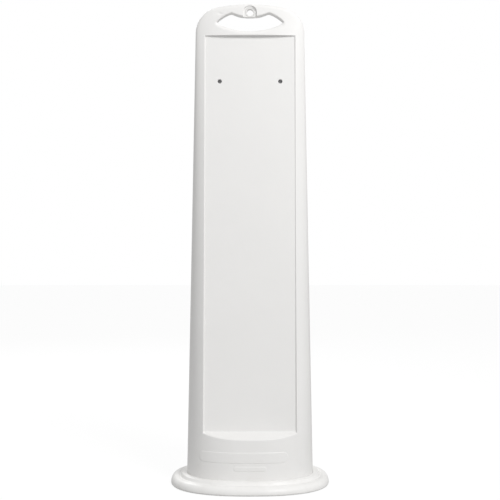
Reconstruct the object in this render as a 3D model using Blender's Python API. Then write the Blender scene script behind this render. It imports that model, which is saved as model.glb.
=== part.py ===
"""Freestanding vertical panel post: a hollow moulded post with a carry handle, in a stepped foot ring.

The post is a tapered shell, open underneath. Each broad face has a flat recess for a sheet or a sign, with
two holes backed by threaded inserts. A sleeve lines the lamp bolt hole in the handle, and screws from below
hold the foot ring. The origin is on the floor under the post's centre, +Z is up and the front looks along -Y.
"""

import math

import bmesh
import bpy
from mathutils import Matrix, Vector

# Post, overall
POST_HEIGHT = 1.143
BASE_HALF_WIDTH = 0.1506
TOP_HALF_WIDTH = 0.1286
BASE_HALF_DEPTH = 0.1250
TOP_HALF_DEPTH = 0.0100
SECTION_EXPONENT = 2.4
WALL = 0.004
CROWN_RADIUS = 0.400
SHOULDER_RADIUS = 0.062

# Recess for the sheet, alike on the front and the rear
RECESS_HALF_WIDTH = 0.1068
RECESS_BOTTOM = 0.132
RECESS_TOP = 1.066
RECESS_STEP_BOTTOM = 0.0070
RECESS_STEP_TOP = 0.0030
RECESS_SIDE_DRAFT = math.radians(18)
LEDGE_SLOPE = math.radians(23.5)

# Holes in the recess for a sign, and the inserts behind them
FACE_HOLE_SPACING = 0.1444
FACE_HOLE_BELOW_RECESS_TOP = 0.1100
FACE_HOLE_RADIUS = 0.0050
INSERT_FLANGE_RADIUS = 0.0120
INSERT_FLANGE_THICKNESS = 0.0020
INSERT_BARREL_RADIUS = 0.0065
INSERT_LENGTH = 0.0080
INSERT_BORE_RADIUS = 0.0042
INSERT_BORE_DEPTH = 0.0065
INSERT_SEAT_EXTRA = 0.0010

# Hand hole, measured down from the post's top at the centre line
GRIP_HALF_WIDTH = 0.0786
GRIP_CORNER_INSET = 0.0017
GRIP_CORNER_UPPER_DROP = 0.0408
GRIP_CORNER_LOWER_DROP = 0.0465
GRIP_PEAK_X = 0.0445
GRIP_PEAK_DROP = 0.0220
GRIP_DIP_SAG = 0.0100
GRIP_SHOULDER_SAG = 0.0020
GRIP_END_SAG = 0.0016
GRIP_LOWER_SAG = 0.0196

# Lamp bolt: a pocket in each face of the handle, a hole through the web and its sleeve
BOLT_DROP = 0.0202
POCKET_RADIUS = 0.0160
WEB_THICKNESS = 0.0140
SLEEVE_BORE_RADIUS = 0.0080
SLEEVE_WALL = 0.0030
BOSS_MARGIN = 0.0100

# Foot ring: heights above the floor, and reaches measured out from the post's skin
FOOT_LEDGE_THICKNESS = 0.0080
FOOT_LEDGE_REACH = 0.0260
FOOT_COLLAR_HEIGHT = 0.0265
FOOT_STEP_HEIGHT = 0.0245
FOOT_STEP_REACH = 0.0130
FOOT_GROOVE_HEIGHT = 0.0175
FOOT_GROOVE_REACH = 0.0165
FOOT_STEP_EDGE = 0.0010
FOOT_RIDGE_HEIGHT = 0.0195
FOOT_RIDGE_REACH = 0.0205
FOOT_RIM_REACH = 0.0375
FOOT_RIM_RADIUS = 0.0140
FOOT_TOE_RADIUS = 0.0040

# Screws through the foot ring's ledge into bosses in the post
POST_FLANGE_THICKNESS = 0.0050
POST_FLANGE_REACH = 0.0240
SCREW_COUNT = 6
SCREW_INSET = 0.0140
SCREW_SHANK_RADIUS = 0.0025
SCREW_HEAD_RADIUS = 0.0055
SCREW_HEAD_HEIGHT = 0.0030
SCREW_LENGTH = 0.0180
SCREW_HEAD_RECESS = 0.0010
SCREW_BOSS_RADIUS = 0.0070

CLEARANCE = 0.0003
OVERCUT = 0.010
SHARP_ANGLE = math.radians(30)
SECTION_SIDES = 64
ROUND_SIDES = 24
ARC_STEPS = 10
RIM_STEPS = 5
TOE_STEPS = 3
SHELL_BAYS = 8
CORE_BAYS = 6

SIDE_TAPER = (BASE_HALF_WIDTH - TOP_HALF_WIDTH) / POST_HEIGHT
FACE_TAPER = (BASE_HALF_DEPTH - TOP_HALF_DEPTH) / POST_HEIGHT
BOLT_HEIGHT = POST_HEIGHT - BOLT_DROP
FACE_HOLE_HEIGHT = RECESS_TOP - FACE_HOLE_BELOW_RECESS_TOP
POST_FOOT = FOOT_LEDGE_THICKNESS + CLEARANCE
FLANGE_TOP = POST_FOOT + POST_FLANGE_THICKNESS

WHITE = (0.86, 0.855, 0.84)
WARM_WHITE = (0.90, 0.895, 0.88)
STEEL = (0.55, 0.56, 0.57)


def clear_scene():
    for old in list(bpy.data.objects):
        bpy.data.objects.remove(old)


def material(name, colour, roughness, metallic):
    made = bpy.data.materials.new(name)
    made.use_nodes = True
    shader = made.node_tree.nodes["Principled BSDF"]
    shader.inputs["Base Color"].default_value = (*colour, 1.0)
    shader.inputs["Roughness"].default_value = roughness
    shader.inputs["Metallic"].default_value = metallic
    return made


def half_width(z):
    """Half the post's width at height z."""
    return BASE_HALF_WIDTH - SIDE_TAPER * z


def half_depth(z):
    """Half the post's depth at height z, on the centre line."""
    return BASE_HALF_DEPTH - FACE_TAPER * z


def skin_depth(x, z):
    """How far the post's skin stands from the mid plane at x and height z."""
    share = (abs(x) / half_width(z)) ** SECTION_EXPONENT
    return half_depth(z) * (1.0 - share) ** (1.0 / SECTION_EXPONENT)


def recess_depth(z):
    """Distance of the recess floor from the mid plane at height z: straight between its two ends."""
    low = skin_depth(RECESS_HALF_WIDTH, RECESS_BOTTOM) - RECESS_STEP_BOTTOM
    high = skin_depth(RECESS_HALF_WIDTH, RECESS_TOP) - RECESS_STEP_TOP
    share = (z - RECESS_BOTTOM) / (RECESS_TOP - RECESS_BOTTOM)
    return low + (high - low) * share


def section(z, outward=0.0, height=None):
    """The post's superellipse outline at height z, grown outward, drawn at another height if one is given."""
    ring = []
    power = 2.0 / SECTION_EXPONENT
    for i in range(SECTION_SIDES):
        turn = 2.0 * math.pi * i / SECTION_SIDES
        c, s = math.cos(turn), math.sin(turn)
        x = (half_width(z) + outward) * math.copysign(abs(c) ** power, c)
        y = (half_depth(z) + outward) * math.copysign(abs(s) ** power, s)
        ring.append(Vector((x, y, z if height is None else height)))
    return ring


def arc(centre, radius, start, end, steps=ARC_STEPS):
    """Points on a circular arc in the XZ plane, both ends included; angles in radians from +X towards +Z."""
    turns = [start + (end - start) * i / steps for i in range(steps + 1)]
    return [(centre[0] + radius * math.cos(a), centre[1] + radius * math.sin(a)) for a in turns]


def bowed(start, end, sag, steps=ARC_STEPS):
    """Points from start up to, but without, end on a circular arc that bows to the right by sag."""
    (x0, z0), (x1, z1) = start, end
    chord = math.hypot(x1 - x0, z1 - z0)
    radius = (chord * chord / 4.0 + sag * sag) / (2.0 * abs(sag))
    half_turn = math.asin(min(1.0, chord / (2.0 * radius)))
    along = Vector((x1 - x0, z1 - z0)) / chord
    right = Vector((along.y, -along.x)) * math.copysign(1.0, sag)
    middle = Vector(((x0 + x1) / 2.0, (z0 + z1) / 2.0))
    centre = middle - right * radius * math.cos(half_turn)
    points = []
    for i in range(steps):
        turn = half_turn * (2.0 * i / steps - 1.0)
        points.append(tuple(centre + radius * (right * math.cos(turn) + along * math.sin(turn))))
    return points


def grown(outline, distance):
    """A counter-clockwise outline pushed outward by a distance, each corner along its own bisector."""
    count = len(outline)
    moved = []
    for i in range(count):
        before, here, after = (Vector(outline[(i + k) % count]) for k in (-1, 0, 1))
        into, out = (here - before).normalized(), (after - here).normalized()
        bisector = (Vector((into.y, -into.x)) + Vector((out.y, -out.x))).normalized()
        lean = max(0.5, bisector.dot(Vector((into.y, -into.x))))
        moved.append(tuple(here + bisector * distance / lean))
    return moved


def front_outline(inward=0.0):
    """Shoulder and crown arcs seen from the front, shrunk by inward, over sides clear of the flanks."""
    slant = math.hypot(1.0, SIDE_TAPER)
    crown_centre = POST_HEIGHT - CROWN_RADIUS
    reach = CROWN_RADIUS - SHOULDER_RADIUS
    side = BASE_HALF_WIDTH - SHOULDER_RADIUS * slant
    # The shoulder's centre keeps its radius from the flank, and the difference of the radii from the crown's.
    a = 1.0 + SIDE_TAPER**2
    b = -2.0 * (side * SIDE_TAPER + crown_centre)
    c = side**2 + crown_centre**2 - reach**2
    centre_z = (-b + math.sqrt(b * b - 4.0 * a * c)) / (2.0 * a)
    centre_x = side - SIDE_TAPER * centre_z
    flank_turn = math.atan(SIDE_TAPER)
    crown_turn = math.atan2(centre_z - crown_centre, centre_x)
    # Below the shoulders the outline runs clear of the skin, which makes the flanks by itself.
    clear_x = BASE_HALF_WIDTH + OVERCUT
    right = [(clear_x, -4.0 * OVERCUT), (clear_x, centre_z)]
    right += arc((centre_x, centre_z), SHOULDER_RADIUS - inward, flank_turn, crown_turn)
    crown = arc((0.0, crown_centre), CROWN_RADIUS - inward, crown_turn, math.pi - crown_turn, 2 * ARC_STEPS)
    left = [(-x, z) for x, z in reversed(right)]
    return right + crown[1:-1] + left


def grip_outline():
    """The hand hole from the front, counter-clockwise: a low arc under a bow with two peaks."""
    upper = POST_HEIGHT - GRIP_CORNER_UPPER_DROP
    lower = POST_HEIGHT - GRIP_CORNER_LOWER_DROP
    peak = POST_HEIGHT - GRIP_PEAK_DROP
    corners = [
        (-GRIP_HALF_WIDTH, lower),
        (GRIP_HALF_WIDTH, lower),
        (GRIP_HALF_WIDTH - GRIP_CORNER_INSET, upper),
        (GRIP_PEAK_X, peak),
        (-GRIP_PEAK_X, peak),
        (GRIP_CORNER_INSET - GRIP_HALF_WIDTH, upper),
    ]
    sags = [GRIP_LOWER_SAG, GRIP_END_SAG, GRIP_SHOULDER_SAG, -GRIP_DIP_SAG, GRIP_SHOULDER_SAG, GRIP_END_SAG]
    outline = []
    for i, sag in enumerate(sags):
        outline += bowed(corners[i], corners[(i + 1) % len(corners)], sag)
    return outline


def build(name, verts, faces, finish=None):
    """An object with outward faces, shaded smooth with its corners kept, from points and faces."""
    mesh = bpy.data.meshes.new(name)
    mesh.from_pydata([tuple(v) for v in verts], [], faces)
    work = bmesh.new()
    work.from_mesh(mesh)
    bmesh.ops.recalc_face_normals(work, faces=work.faces)
    work.to_mesh(mesh)
    work.free()
    made = bpy.data.objects.new(name, mesh)
    bpy.context.scene.collection.objects.link(made)
    mesh.shade_smooth()
    mesh.set_sharp_from_angle(angle=SHARP_ANGLE)
    if finish is not None:
        mesh.materials.append(finish)
    return made


def loft(name, rings, finish=None, closed=False):
    """A skin over rings with equal counts, capped at both ends or closed on itself like a tyre."""
    count, size = len(rings), len(rings[0])
    verts = [v for ring in rings for v in ring]
    faces = []
    for i in range(count if closed else count - 1):
        j = (i + 1) % count
        for k in range(size):
            m = (k + 1) % size
            faces.append((i * size + k, i * size + m, j * size + m, j * size + k))
    if not closed:
        faces.append(tuple(reversed(range(size))))
        faces.append(tuple(range((count - 1) * size, count * size)))
    return build(name, verts, faces, finish)


def prism(name, outline, near, far):
    """A front-view outline carried along Y from near to far."""
    return loft(name, [[Vector((x, near, z)) for x, z in outline], [Vector((x, far, z)) for x, z in outline]])


def turned(name, profile, place, finish=None, closed=False):
    """A profile of (radius, distance) pairs spun about the axis that the matrix place sends +Z to."""
    turns = [2.0 * math.pi * i / ROUND_SIDES for i in range(ROUND_SIDES)]
    rings = [[place @ Vector((r * math.cos(a), r * math.sin(a), d)) for a in turns] for r, d in profile]
    return loft(name, rings, finish, closed)


def round_bar(name, radius, start, end):
    """A cylinder from start to end."""
    axis = Vector(end) - Vector(start)
    aim = Vector((0.0, 0.0, 1.0)).rotation_difference(axis).to_matrix().to_4x4()
    return turned(name, [(radius, 0.0), (radius, axis.length)], Matrix.Translation(start) @ aim)


def joined(name, pieces):
    """Several cutters as one object, each still a body of its own."""
    work = bmesh.new()
    for piece in pieces:
        work.from_mesh(piece.data)
        bpy.data.objects.remove(piece)
    mesh = bpy.data.meshes.new(name)
    work.to_mesh(mesh)
    work.free()
    made = bpy.data.objects.new(name, mesh)
    bpy.context.scene.collection.objects.link(made)
    return made


def combine(target, tool, operation):
    """A live Boolean of target with tool, which then shows only as wires."""
    step = target.modifiers.new(tool.name, "BOOLEAN")
    step.operation = operation
    step.solver = "EXACT"
    step.object = tool
    tool.hide_render = True
    tool.display_type = "WIRE"


def recess_tool(name, face, wall=0.0):
    """What the recess on one face takes away, grown by a wall: flat floor, drafted sides, sloping ledge.

    face is -1 for the front and +1 for the rear.
    """
    outer = BASE_HALF_DEPTH + OVERCUT
    low, high = RECESS_BOTTOM - wall / math.cos(LEDGE_SLOPE), RECESS_TOP + wall
    rings = []
    for z, slope in ((low, math.tan(LEDGE_SLOPE)), (high, 0.0)):
        floor = recess_depth(z) - wall
        for depth in (floor, outer):
            out = depth - floor
            spread = RECESS_HALF_WIDTH + wall + out * math.tan(RECESS_SIDE_DRAFT)
            rings.append([Vector((side * spread, face * depth, z - out * slope)) for side in (-1, 1)])
    low_floor, low_out, high_floor, high_out = rings
    return loft(name, [low_floor + low_out[::-1], high_floor + high_out[::-1]])


def pocket_outline():
    """The lamp bolt pocket from the front: a round top, straight sides and an open lower end."""
    low = BOLT_HEIGHT - POCKET_RADIUS - OVERCUT
    # An odd count of steps keeps the arc's top point off the skin's own centre line edge.
    top = arc((0.0, BOLT_HEIGHT), POCKET_RADIUS, 0.0, math.pi, ARC_STEPS + 1)
    return [(POCKET_RADIUS, low)] + top + [(-POCKET_RADIUS, low)]


def screw_places():
    """Screw centres on the ledge, spaced evenly by angle on the post's outline set inward."""
    places = []
    power = 2.0 / SECTION_EXPONENT
    for i in range(SCREW_COUNT):
        turn = 2.0 * math.pi * (i + 0.5) / SCREW_COUNT
        c, s = math.cos(turn), math.sin(turn)
        x = (half_width(POST_FOOT) - SCREW_INSET) * math.copysign(abs(c) ** power, c)
        y = (half_depth(POST_FOOT) - SCREW_INSET) * math.copysign(abs(s) ** power, s)
        places.append((x, y))
    return places


def face_hole_places():
    """(x, face) of each hole, the front's first; every hole is at the same height."""
    return [(side * FACE_HOLE_SPACING / 2.0, face) for face in (-1, 1) for side in (-1, 1)]


def insert_seat():
    """Distance from the mid plane of the flat end that an insert's flange bears on."""
    return recess_depth(FACE_HOLE_HEIGHT) - WALL - INSERT_SEAT_EXTRA


def post_core():
    """The post's hollow: the skin set in by the wall, clear of every recess, hole and boss."""
    heights = [FLANGE_TOP + (POST_HEIGHT - FLANGE_TOP) * i / CORE_BAYS for i in range(CORE_BAYS + 1)]
    core = loft("core", [section(z, -WALL) for z in heights])
    inside = prism("core_outline", front_outline(WALL), -2.0 * BASE_HALF_DEPTH, 2.0 * BASE_HALF_DEPTH)
    combine(core, inside, "INTERSECT")
    for face, label in ((-1, "front"), (1, "rear")):
        combine(core, recess_tool(f"core_recess_{label}", face, WALL), "DIFFERENCE")
    reach = 2.0 * TOP_HALF_DEPTH + OVERCUT
    combine(core, prism("core_grip", grown(grip_outline(), WALL), -reach, reach), "DIFFERENCE")
    boss = POCKET_RADIUS + BOSS_MARGIN
    low, high = BOLT_HEIGHT - POCKET_RADIUS - OVERCUT, POST_HEIGHT + OVERCUT
    block = prism("core_lamp_boss", [(-boss, low), (boss, low), (boss, high), (-boss, high)], -reach, reach)
    combine(core, block, "DIFFERENCE")
    bosses = []
    for x, face in face_hole_places():
        start, end = (x, face * insert_seat(), FACE_HOLE_HEIGHT), (x, face * reach, FACE_HOLE_HEIGHT)
        bosses.append(round_bar("boss", INSERT_FLANGE_RADIUS + WALL / 2.0, start, end))
    combine(core, joined("core_face_bosses", bosses), "DIFFERENCE")
    top = POST_FOOT + SCREW_LENGTH + WALL
    posts = [round_bar("boss", SCREW_BOSS_RADIUS, (x, y, 0.0), (x, y, top)) for x, y in screw_places()]
    combine(core, joined("core_screw_bosses", posts), "DIFFERENCE")
    mouth = [section(POST_FOOT, -POST_FLANGE_REACH, z) for z in (-OVERCUT, FLANGE_TOP + WALL)]
    combine(core, loft("mouth", mouth), "UNION")
    return core


def post_drills():
    """Round holes in the post: the sleeve's seat, the face holes from front to rear, and the screw holes."""
    reach = 2.0 * TOP_HALF_DEPTH + OVERCUT
    across = [(0.0, BOLT_HEIGHT, SLEEVE_BORE_RADIUS + SLEEVE_WALL + CLEARANCE)]
    across += [(side * FACE_HOLE_SPACING / 2.0, FACE_HOLE_HEIGHT, FACE_HOLE_RADIUS) for side in (-1, 1)]
    holes = [round_bar("drill", r, (x, -reach, z), (x, reach, z)) for x, z, r in across]
    top = POST_FOOT + SCREW_LENGTH + WALL + OVERCUT
    for x, y in screw_places():
        holes.append(round_bar("drill", SCREW_SHANK_RADIUS + CLEARANCE, (x, y, -OVERCUT), (x, y, top)))
    return joined("post_drills", holes)


def post_shell():
    """The one moulding: tapered skin, crown, recesses, hand hole, lamp pockets, screw bosses, open foot."""
    rise = POST_HEIGHT + OVERCUT - POST_FOOT
    heights = [POST_FOOT + rise * i / SHELL_BAYS for i in range(SHELL_BAYS + 1)]
    shell = loft("post_shell", [section(z) for z in heights], material("post_white", WHITE, 0.42, 0.0))
    outline = prism("outline", front_outline(), -2.0 * BASE_HALF_DEPTH, 2.0 * BASE_HALF_DEPTH)
    combine(shell, outline, "INTERSECT")
    reach = 2.0 * TOP_HALF_DEPTH + OVERCUT
    for face, label in ((-1, "front"), (1, "rear")):
        combine(shell, recess_tool(f"recess_{label}", face), "DIFFERENCE")
        near, far = face * WEB_THICKNESS / 2.0, face * reach
        combine(shell, prism(f"pocket_{label}", pocket_outline(), near, far), "DIFFERENCE")
    combine(shell, prism("grip", grip_outline(), -reach, reach), "DIFFERENCE")
    combine(shell, post_drills(), "DIFFERENCE")
    combine(shell, post_core(), "DIFFERENCE")


def foot_profile():
    """(reach, height) pairs round the foot ring, from the collar's inner edge outward and back underneath."""
    collar_fall = FOOT_COLLAR_HEIGHT - FOOT_STEP_HEIGHT
    top = [
        (CLEARANCE, FOOT_COLLAR_HEIGHT),
        (FOOT_STEP_REACH - collar_fall, FOOT_STEP_HEIGHT + FOOT_STEP_EDGE),
        (FOOT_STEP_REACH, FOOT_STEP_HEIGHT - FOOT_STEP_EDGE),
        (FOOT_GROOVE_REACH, FOOT_GROOVE_HEIGHT),
        (FOOT_RIDGE_REACH, FOOT_RIDGE_HEIGHT),
    ]
    rim_centre = (FOOT_RIM_REACH - FOOT_RIM_RADIUS, FOOT_RIDGE_HEIGHT - FOOT_RIM_RADIUS)
    toe_centre = (FOOT_RIM_REACH - FOOT_TOE_RADIUS, FOOT_TOE_RADIUS)
    rim = arc(rim_centre, FOOT_RIM_RADIUS, math.pi / 2.0, 0.0, RIM_STEPS)
    toe = arc(toe_centre, FOOT_TOE_RADIUS, 0.0, -math.pi / 2.0, TOE_STEPS)
    return top + rim + toe + [(-FOOT_LEDGE_REACH, 0.0), (-FOOT_LEDGE_REACH, FOOT_LEDGE_THICKNESS)]


def foot_ring():
    """The stepped ring that the post stands in, with counterbored screw holes in its ledge."""
    rings = [section(height, reach) for reach, height in foot_profile()]
    rings.append(section(FOOT_LEDGE_THICKNESS, CLEARANCE))
    ring = loft("foot_ring", rings, material("foot_white", WARM_WHITE, 0.4, 0.0), closed=True)
    head_top = SCREW_HEAD_RECESS + SCREW_HEAD_HEIGHT + CLEARANCE
    bores = (("shank", SCREW_SHANK_RADIUS, POST_FOOT + OVERCUT), ("head", SCREW_HEAD_RADIUS, head_top))
    for label, radius, top in bores:
        wide = radius + CLEARANCE
        drills = [round_bar("drill", wide, (x, y, -OVERCUT), (x, y, top)) for x, y in screw_places()]
        combine(ring, joined(f"{label}_drills", drills), "DIFFERENCE")


def foot_screws():
    """Socket head screws, all alike, driven up from under the foot ring into the post's bosses."""
    steel = material("screw_steel", STEEL, 0.35, 1.0)
    head_low, neck = SCREW_HEAD_RECESS, SCREW_HEAD_RECESS + SCREW_HEAD_HEIGHT
    profile = [
        (SCREW_SHANK_RADIUS, head_low + SCREW_HEAD_HEIGHT / 2.0),
        (SCREW_SHANK_RADIUS, head_low),
        (SCREW_HEAD_RADIUS, head_low),
        (SCREW_HEAD_RADIUS, neck),
        (SCREW_SHANK_RADIUS, neck),
        (SCREW_SHANK_RADIUS, neck + SCREW_LENGTH),
    ]
    for number, (x, y) in enumerate(screw_places(), 1):
        turned(f"foot_screw_{number}", profile, Matrix.Translation((x, y, 0.0)), steel)


def lamp_sleeve():
    """The sleeve that keeps the lamp bolt from crushing the handle, flush with both pocket floors."""
    inner, outer, half = SLEEVE_BORE_RADIUS, SLEEVE_BORE_RADIUS + SLEEVE_WALL, WEB_THICKNESS / 2.0
    place = Matrix.Translation((0.0, 0.0, BOLT_HEIGHT)) @ Matrix.Rotation(math.pi / 2.0, 4, "X")
    profile = [(inner, -half), (outer, -half), (outer, half), (inner, half)]
    turned("lamp_bolt_sleeve", profile, place, material("sleeve_white", WHITE, 0.4, 0.0), closed=True)


def face_inserts():
    """A blind threaded insert behind each hole of the recesses: flange on the wall, barrel inside."""
    steel = material("insert_steel", STEEL, 0.4, 1.0)
    seat = insert_seat() - CLEARANCE
    flange_back = seat - INSERT_FLANGE_THICKNESS
    profile = [
        (INSERT_BORE_RADIUS, seat - INSERT_BORE_DEPTH),
        (INSERT_BORE_RADIUS, seat),
        (INSERT_FLANGE_RADIUS, seat),
        (INSERT_FLANGE_RADIUS, flange_back),
        (INSERT_BARREL_RADIUS, flange_back),
        (INSERT_BARREL_RADIUS, seat - INSERT_LENGTH),
    ]
    for x, face in face_hole_places():
        name = f"face_insert_{'front' if face < 0 else 'rear'}_{'left' if x < 0 else 'right'}"
        turn = Matrix.Rotation(-face * math.pi / 2.0, 4, "X")
        turned(name, profile, Matrix.Translation((x, 0.0, FACE_HOLE_HEIGHT)) @ turn, steel)


clear_scene()
post_shell()
foot_ring()
foot_screws()
lamp_sleeve()
face_inserts()
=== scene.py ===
"""Looks of the freestanding panel post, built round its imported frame, with its light and camera."""
import math

import bmesh
import bpy
import numpy as np
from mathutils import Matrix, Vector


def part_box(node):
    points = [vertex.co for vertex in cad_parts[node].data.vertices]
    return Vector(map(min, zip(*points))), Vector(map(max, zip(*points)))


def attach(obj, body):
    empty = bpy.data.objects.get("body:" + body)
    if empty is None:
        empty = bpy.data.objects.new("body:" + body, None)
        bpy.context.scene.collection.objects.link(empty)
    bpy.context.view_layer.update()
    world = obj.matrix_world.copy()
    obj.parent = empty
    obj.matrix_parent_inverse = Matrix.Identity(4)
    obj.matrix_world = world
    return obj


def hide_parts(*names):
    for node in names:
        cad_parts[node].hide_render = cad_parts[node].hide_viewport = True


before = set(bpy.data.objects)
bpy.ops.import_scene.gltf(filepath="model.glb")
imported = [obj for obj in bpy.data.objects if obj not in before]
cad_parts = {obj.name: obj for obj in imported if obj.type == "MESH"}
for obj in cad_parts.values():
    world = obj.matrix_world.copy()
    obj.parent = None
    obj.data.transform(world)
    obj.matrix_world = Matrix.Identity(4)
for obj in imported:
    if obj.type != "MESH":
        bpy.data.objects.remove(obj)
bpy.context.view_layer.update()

# Post moulding. One rotationally moulded white polyethylene shell, 4 mm thick, tapered and open underneath.
# The mould rolls every edge of the carry handle, and leaves a flat drafted recess for a sheet in each face.
shell_low, shell_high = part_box("post_shell")
BASE_Z, TOP_Z = shell_low.z, shell_high.z
BASE_HALF_WIDTH, BASE_HALF_DEPTH = shell_high.x, shell_high.y
TOP_HALF_WIDTH, TOP_HALF_DEPTH = 0.1286, 0.0100
SECTION_POWER = 2.4
WALL = 0.004
RECESS_HALF_WIDTH = 0.1068
RECESS_BOTTOM, RECESS_TOP = 0.132, 1.066
STEP_BOTTOM, STEP_TOP = 0.0070, 0.0030
SIDE_DRAFT, LEDGE_SLOPE, TOP_DRAFT = math.radians(18), math.radians(23.5), math.radians(4)
FLOOR_ROUND, EDGE_ROUND = 0.0020, 0.0035
TAPER = (BASE_HALF_WIDTH - TOP_HALF_WIDTH) / (TOP_Z - BASE_Z)


def half_sizes(z):
    """Half width and half depth at height z: both fall in a straight line from the foot to the crown."""
    share = (z - BASE_Z) / (TOP_Z - BASE_Z)
    width = BASE_HALF_WIDTH + (TOP_HALF_WIDTH - BASE_HALF_WIDTH) * share
    return width, BASE_HALF_DEPTH + (TOP_HALF_DEPTH - BASE_HALF_DEPTH) * share


def skin(x, z, inset=0.0):
    """Half thickness of the plain section: depth times the nth root of 1 - |x / width| to the power n."""
    width, depth = half_sizes(z)
    share = np.clip(np.abs(x) / (width - inset), 0.0, 1.0) ** SECTION_POWER
    return (depth - inset) * (1.0 - share) ** (1.0 / SECTION_POWER)


def soft_min(a, b, reach):
    """The smaller of a and b, less (reach - |a - b|) squared over 4 reach where they come that near."""
    return np.minimum(a, b) - np.maximum(reach - np.abs(a - b), 0.0) ** 2 / (4.0 * reach)


def recess_floor(z):
    """Depth of the recess floor: a straight line from its lower to its upper end, a step below the skin."""
    low = skin(RECESS_HALF_WIDTH, RECESS_BOTTOM) - STEP_BOTTOM
    high = skin(RECESS_HALF_WIDTH, RECESS_TOP) - STEP_TOP
    return low + (high - low) * (z - RECESS_BOTTOM) / (RECESS_TOP - RECESS_BOTTOM)


def face_depth(x, z, inset=0.0):
    """Half thickness with the recess: the softened smaller of the skin and the recess floor plus walls.

    A wall's height above the floor is the distance past the recess's edge over the tangent of its draft.
    """
    side = (np.abs(x) - RECESS_HALF_WIDTH - inset) / math.tan(SIDE_DRAFT)
    ledge = (RECESS_BOTTOM - inset / math.cos(LEDGE_SLOPE) - z) / math.tan(LEDGE_SLOPE)
    top = (z - RECESS_TOP - inset) / math.tan(TOP_DRAFT)
    wall = -soft_min(-np.maximum(np.maximum(side, ledge), top), 0.0, FLOOR_ROUND)
    return soft_min(skin(x, z, inset), recess_floor(z) - inset + wall, EDGE_ROUND)


# Hand hole. An opening moulded right through the top of the shell, whose rolled rim is the carry handle.
# Its lower edge is one sagging arc, and its upper edge dips between two rounded peaks.
GRIP_HALF_WIDTH, GRIP_CORNER_INSET = 0.0786, 0.0017
GRIP_LOWER, GRIP_UPPER, GRIP_PEAK = TOP_Z - 0.0465, TOP_Z - 0.0408, TOP_Z - 0.0220
GRIP_PEAK_X = 0.0445
LOWER_SAG, END_SAG, SHOULDER_SAG, DIP_SAG = 0.0196, 0.0016, 0.0020, -0.0100
GRIP_STEPS, GRIP_SOFTENING = 360, 2


def bow(start, end, sag, count=60):
    """Points from start to just before end on the circle through both that bows to the right by sag.

    The radius is a quarter of the chord squared plus the sag squared, over twice the sag.
    """
    start, end = np.array(start), np.array(end)
    chord = math.dist(start, end)
    radius = (chord**2 / 4.0 + sag**2) / (2.0 * abs(sag))
    half_turn = math.asin(min(1.0, chord / (2.0 * radius)))
    along = (end - start) / chord
    right = np.array((along[1], -along[0])) * np.sign(sag)
    centre = (start + end) / 2.0 - right * radius * math.cos(half_turn)
    turn = half_turn * (2.0 * np.arange(count)[:, None] / count - 1.0)
    return centre + radius * (right * np.cos(turn) + along * np.sin(turn))


def even(line, count):
    """A line of points walked again in count equal steps of its own length, both ends included."""
    steps = np.hypot(*np.diff(line, axis=0).T)
    walked = np.concatenate(((0.0,), np.cumsum(steps)))
    places = np.linspace(0.0, walked[-1], count)
    return np.stack([np.interp(places, walked, line[:, axis]) for axis in range(line.shape[1])], axis=1)


def softened(loop, reach, rounds=3):
    """A closed line with every point moved to the mean of its neighbours within reach, a few times over."""
    for _ in range(rounds):
        loop = sum(np.roll(loop, k, axis=0) for k in range(-reach, reach + 1)) / (2 * reach + 1)
    return loop


corners = [
    (-GRIP_HALF_WIDTH, GRIP_LOWER),
    (GRIP_HALF_WIDTH, GRIP_LOWER),
    (GRIP_HALF_WIDTH - GRIP_CORNER_INSET, GRIP_UPPER),
    (GRIP_PEAK_X, GRIP_PEAK),
    (-GRIP_PEAK_X, GRIP_PEAK),
    (GRIP_CORNER_INSET - GRIP_HALF_WIDTH, GRIP_UPPER),
]
sags = [LOWER_SAG, END_SAG, SHOULDER_SAG, DIP_SAG, SHOULDER_SAG, END_SAG]
arcs = [bow(corners[i], corners[(i + 1) % len(corners)], sag) for i, sag in enumerate(sags)]
grip = np.concatenate(arcs + [arcs[0][:1]])
grip = softened(even(grip, GRIP_STEPS + 1)[:-1], GRIP_SOFTENING)
grip = np.roll(grip, -int(grip[:, 0].argmin()), axis=0)
grip_end = int(grip[:, 0].argmax())
grip_lower = grip[: grip_end + 1]
grip_upper = np.concatenate((grip[grip_end:], grip[:1]))


def grip_gap(x, z):
    """Distance of each point from the hand hole's edge, to the nearest place on any short segment."""
    way = np.roll(grip, -1, axis=0) - grip
    out = np.stack((x.ravel(), z.ravel()), axis=1)[:, None, :] - grip
    share = np.clip((out * way).sum(axis=2) / (way * way).sum(axis=1), 0.0, 1.0)
    out = out - share[:, :, None] * way
    return np.sqrt((out**2).sum(axis=2).min(axis=1)).reshape(x.shape)


# Crown. The top of the same moulding, where front and rear come together over the hand hole in a soft roll:
# a wide arc between two shoulder arcs, each tangent to it and to the straight flank below.
CROWN_RADIUS, SHOULDER_RADIUS = 0.400, 0.062
CROWN_ROLL, GRIP_ROLL, LIP_ROLL, ROLL_SHARE = 0.0085, 0.0030, 0.0085, 0.85
LIP_LOW, LIP_HIGH = 1.088, 1.104
JOIN_Z, ROLL_START, ROLL_FADE = 1.0695, 1.070, 0.020
DIMPLE_X, DIMPLE_Z, DIMPLE_WIDE, DIMPLE_HIGH, DIMPLE_DEPTH = -0.0708, 1.1192, 0.0042, 0.0027, 0.0014
slant = math.hypot(1.0, TAPER)
crown_centre = TOP_Z - CROWN_RADIUS
inner_side = BASE_HALF_WIDTH + TAPER * BASE_Z - SHOULDER_RADIUS * slant
lean = inner_side * TAPER + crown_centre
spread = inner_side**2 + crown_centre**2 - (CROWN_RADIUS - SHOULDER_RADIUS) ** 2
shoulder_z = (lean + math.sqrt(lean**2 - slant**2 * spread)) / slant**2
shoulder_x = inner_side - TAPER * shoulder_z
flank_turn = math.atan(TAPER)
crown_turn = math.atan2(shoulder_z - crown_centre, shoulder_x)


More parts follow.
